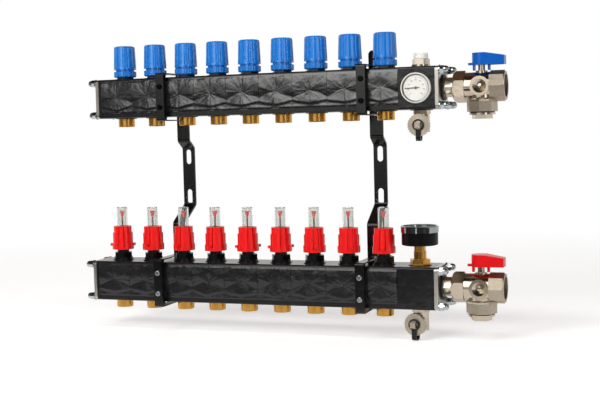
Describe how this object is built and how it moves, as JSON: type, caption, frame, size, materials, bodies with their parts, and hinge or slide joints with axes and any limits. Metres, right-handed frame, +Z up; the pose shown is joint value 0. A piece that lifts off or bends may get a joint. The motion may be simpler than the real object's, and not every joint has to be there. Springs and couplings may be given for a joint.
{
  "type": "heating manifold",
  "caption": "Modular underfloor heating manifold on wall brackets: return bar with blue knobs, supply bar with flow meters, ball valves, drains, vent, thermometer and gauge.",
  "frame": {"origin": "centre of the left bracket's two wall slots, on the wall plane", "axes": "+X along the bars towards the ball valves, +Y into the wall, +Z up"},
  "size_m": [0.6126, 0.1181, 0.4132],
  "materials": {
    "black_polyamide": "moulded glass-fibre polyamide, satin",
    "black_plastic": "moulded, satin",
    "nickel_plate": "nickel-plated brass, bright",
    "zinc_steel": "zinc-plated, bright",
    "brass": "turned brass",
    "blue_plastic": "moulded ABS",
    "red_plastic": "moulded ABS",
    "clear_plastic": "clear moulded polymer",
    "painted_steel": "black powder coat",
    "rubber": "EPDM",
    "white_plastic": "moulded",
    "white_lacquer": "white lacquer",
    "chrome": "polished"
  },
  "bodies": {
    "manifold": {"return_modules": "black_polyamide", "supply_modules": "black_polyamide", "end_modules": "black_polyamide", "end_plates": "nickel_plate", "tie_rods_and_nuts": "zinc_steel", "pipe_connectors": "brass", "valve_inserts": "brass", "knob_rings": "blue_plastic", "flow_bodies": "black_plastic", "clear_covers": "clear_plastic", "gauge_case": "black_plastic", "gauge_bezel": "chrome", "thermometer_case_and_dials": "white_lacquer", "gauge_fittings": "brass", "vent_body": "nickel_plate", "drain_bodies": "nickel_plate", "drain_straps": "black_plastic", "unions": "nickel_plate", "ball_valve_bodies": "nickel_plate", "branch_plugs": "nickel_plate", "wall_brackets": "painted_steel", "bar_clamps": "painted_steel", "clamp_screws": "zinc_steel", "seals_and_pads": "rubber"},
    "return_knob_1": {"return_knob_1": "blue_plastic"},
    "return_knob_2": {"return_knob_2": "blue_plastic"},
    "return_knob_3": {"return_knob_3": "blue_plastic"},
    "return_knob_4": {"return_knob_4": "blue_plastic"},
    "return_knob_5": {"return_knob_5": "blue_plastic"},
    "return_knob_6": {"return_knob_6": "blue_plastic"},
    "return_knob_7": {"return_knob_7": "blue_plastic"},
    "return_knob_8": {"return_knob_8": "blue_plastic"},
    "return_knob_9": {"return_knob_9": "blue_plastic"},
    "flow_cap_1": {"flow_cap_1": "red_plastic"},
    "flow_indicator_1": {"flow_indicator_1": "red_plastic"},
    "flow_cap_2": {"flow_cap_2": "red_plastic"},
    "flow_indicator_2": {"flow_indicator_2": "red_plastic"},
    "flow_cap_3": {"flow_cap_3": "red_plastic"},
    "flow_indicator_3": {"flow_indicator_3": "red_plastic"},
    "flow_cap_4": {"flow_cap_4": "red_plastic"},
    "flow_indicator_4": {"flow_indicator_4": "red_plastic"},
    "flow_cap_5": {"flow_cap_5": "red_plastic"},
    "flow_indicator_5": {"flow_indicator_5": "red_plastic"},
    "flow_cap_6": {"flow_cap_6": "red_plastic"},
    "flow_indicator_6": {"flow_indicator_6": "red_plastic"},
    "flow_cap_7": {"flow_cap_7": "red_plastic"},
    "flow_indicator_7": {"flow_indicator_7": "red_plastic"},
    "flow_cap_8": {"flow_cap_8": "red_plastic"},
    "flow_indicator_8": {"flow_indicator_8": "red_plastic"},
    "flow_cap_9": {"flow_cap_9": "red_plastic"},
    "flow_indicator_9": {"flow_indicator_9": "red_plastic"},
    "return_lever": {"return_lever": "blue_plastic", "return_valve_stem": "nickel_plate"},
    "return_drain_cap": {"return_drain_cap": "nickel_plate"},
    "supply_lever": {"supply_lever": "red_plastic", "supply_valve_stem": "nickel_plate"},
    "supply_drain_cap": {"supply_drain_cap": "nickel_plate"},
    "thermometer_needle": {"thermometer_needle": "black_plastic"},
    "gauge_needle": {"gauge_needle": "black_plastic"},
    "vent_cap": {"vent_cap": "white_plastic"}
  },
  "joints": [
    {"name": "return_knob_1_turn", "type": "hinge", "parent": "manifold", "child": "return_knob_1", "pos_m": [-0.0765, -0.051, 0.1616], "axis": [0, 0, 1], "range_deg": [-540, 0]},
    {"name": "return_knob_2_turn", "type": "hinge", "parent": "manifold", "child": "return_knob_2", "pos_m": [-0.0265, -0.051, 0.1616], "axis": [0, 0, 1], "range_deg": [-540, 0]},
    {"name": "return_knob_3_turn", "type": "hinge", "parent": "manifold", "child": "return_knob_3", "pos_m": [0.0235, -0.051, 0.1616], "axis": [0, 0, 1], "range_deg": [-540, 0]},
    {"name": "return_knob_4_turn", "type": "hinge", "parent": "manifold", "child": "return_knob_4", "pos_m": [0.0735, -0.051, 0.1616], "axis": [0, 0, 1], "range_deg": [-540, 0]},
    {"name": "return_knob_5_turn", "type": "hinge", "parent": "manifold", "child": "return_knob_5", "pos_m": [0.1235, -0.051, 0.1616], "axis": [0, 0, 1], "range_deg": [-540, 0]},
    {"name": "return_knob_6_turn", "type": "hinge", "parent": "manifold", "child": "return_knob_6", "pos_m": [0.1735, -0.051, 0.1616], "axis": [0, 0, 1], "range_deg": [-540, 0]},
    {"name": "return_knob_7_turn", "type": "hinge", "parent": "manifold", "child": "return_knob_7", "pos_m": [0.2235, -0.051, 0.1616], "axis": [0, 0, 1], "range_deg": [-540, 0]},
    {"name": "return_knob_8_turn", "type": "hinge", "parent": "manifold", "child": "return_knob_8", "pos_m": [0.2735, -0.051, 0.1616], "axis": [0, 0, 1], "range_deg": [-540, 0]},
    {"name": "return_knob_9_turn", "type": "hinge", "parent": "manifold", "child": "return_knob_9", "pos_m": [0.3235, -0.051, 0.1616], "axis": [0, 0, 1], "range_deg": [-540, 0]},
    {"name": "flow_cap_1_turn", "type": "hinge", "parent": "manifold", "child": "flow_cap_1", "pos_m": [-0.0765, -0.075, -0.1025], "axis": [0, 0, 1], "range_deg": [-129, 231]},
    {"name": "flow_indicator_1_travel", "type": "slide", "parent": "manifold", "child": "flow_indicator_1", "axis": [0, 0, -1], "range_m": [0, 0.013], "stiffness_N_per_m": 15, "springref_m": -0.002},
    {"name": "flow_cap_2_turn", "type": "hinge", "parent": "manifold", "child": "flow_cap_2", "pos_m": [-0.0265, -0.075, -0.1025], "axis": [0, 0, 1], "range_deg": [-13, 347]},
    {"name": "flow_indicator_2_travel", "type": "slide", "parent": "manifold", "child": "flow_indicator_2", "axis": [0, 0, -1], "range_m": [0, 0.013], "stiffness_N_per_m": 15, "springref_m": -0.002},
    {"name": "flow_cap_3_turn", "type": "hinge", "parent": "manifold", "child": "flow_cap_3", "pos_m": [0.0235, -0.075, -0.1025], "axis": [0, 0, 1], "range_deg": [-10, 350]},
    {"name": "flow_indicator_3_travel", "type": "slide", "parent": "manifold", "child": "flow_indicator_3", "axis": [0, 0, -1], "range_m": [0, 0.013], "stiffness_N_per_m": 15, "springref_m": -0.002},
    {"name": "flow_cap_4_turn", "type": "hinge", "parent": "manifold", "child": "flow_cap_4", "pos_m": [0.0735, -0.075, -0.1025], "axis": [0, 0, 1], "range_deg": [-12, 348]},
    {"name": "flow_indicator_4_travel", "type": "slide", "parent": "manifold", "child": "flow_indicator_4", "axis": [0, 0, -1], "range_m": [0, 0.013], "stiffness_N_per_m": 15, "springref_m": -0.002},
    {"name": "flow_cap_5_turn", "type": "hinge", "parent": "manifold", "child": "flow_cap_5", "pos_m": [0.1235, -0.075, -0.1025], "axis": [0, 0, 1], "range_deg": [-148, 212]},
    {"name": "flow_indicator_5_travel", "type": "slide", "parent": "manifold", "child": "flow_indicator_5", "axis": [0, 0, -1], "range_m": [0, 0.013], "stiffness_N_per_m": 15, "springref_m": -0.002},
    {"name": "flow_cap_6_turn", "type": "hinge", "parent": "manifold", "child": "flow_cap_6", "pos_m": [0.1735, -0.075, -0.1025], "axis": [0, 0, 1], "range_deg": [-146, 214]},
    {"name": "flow_indicator_6_travel", "type": "slide", "parent": "manifold", "child": "flow_indicator_6", "axis": [0, 0, -1], "range_m": [0, 0.013], "stiffness_N_per_m": 15, "springref_m": -0.002},
    {"name": "flow_cap_7_turn", "type": "hinge", "parent": "manifold", "child": "flow_cap_7", "pos_m": [0.2235, -0.075, -0.1025], "axis": [0, 0, 1], "range_deg": [-48, 312]},
    {"name": "flow_indicator_7_travel", "type": "slide", "parent": "manifold", "child": "flow_indicator_7", "axis": [0, 0, -1], "range_m": [0, 0.013], "stiffness_N_per_m": 15, "springref_m": -0.002},
    {"name": "flow_cap_8_turn", "type": "hinge", "parent": "manifold", "child": "flow_cap_8", "pos_m": [0.2735, -0.075, -0.1025], "axis": [0, 0, 1], "range_deg": [-47, 313]},
    {"name": "flow_indicator_8_travel", "type": "slide", "parent": "manifold", "child": "flow_indicator_8", "axis": [0, 0, -1], "range_m": [0, 0.013], "stiffness_N_per_m": 15, "springref_m": -0.002},
    {"name": "flow_cap_9_turn", "type": "hinge", "parent": "manifold", "child": "flow_cap_9", "pos_m": [0.3235, -0.075, -0.1025], "axis": [0, 0, 1], "range_deg": [-28, 332]},
    {"name": "flow_indicator_9_travel", "type": "slide", "parent": "manifold", "child": "flow_indicator_9", "axis": [0, 0, -1], "range_m": [0, 0.013], "stiffness_N_per_m": 15, "springref_m": -0.002},
    {"name": "return_lever_turn", "type": "hinge", "parent": "manifold", "child": "return_lever", "pos_m": [0.4555, -0.051, 0.139], "axis": [0, 0, 1], "range_deg": [-90, 0]},
    {"name": "return_drain_cap_turn", "type": "hinge", "parent": "manifold", "child": "return_drain_cap", "pos_m": [0.3735, -0.051, 0.0693], "axis": [0, -1, 0], "range_deg": [0, 540]},
    {"name": "supply_lever_turn", "type": "hinge", "parent": "manifold", "child": "supply_lever", "pos_m": [0.4555, -0.075, -0.126], "axis": [0, 0, 1], "range_deg": [-90, 0]},
    {"name": "supply_drain_cap_turn", "type": "hinge", "parent": "manifold", "child": "supply_drain_cap", "pos_m": [0.3735, -0.075, -0.1957], "axis": [-0.1908, -0.9816, 0], "range_deg": [0, 540]},
    {"name": "thermometer_needle_turn", "type": "hinge", "parent": "manifold", "child": "thermometer_needle", "pos_m": [0.3735, -0.0795, 0.1185], "axis": [0, 1, 0], "range_deg": [-43, 227], "stiffness_Nm_per_rad": 0.0005},
    {"name": "gauge_needle_turn", "type": "hinge", "parent": "manifold", "child": "gauge_needle", "pos_m": [0.3735, -0.075, -0.0725], "axis": [0, 0, -1], "range_deg": [0, 270], "stiffness_Nm_per_rad": 0.0005},
    {"name": "vent_cap_turn", "type": "hinge", "parent": "manifold", "child": "vent_cap", "pos_m": [0.3735, -0.051, 0.1578], "axis": [0, 0, 1], "range_deg": [0, 360]}
  ]
}
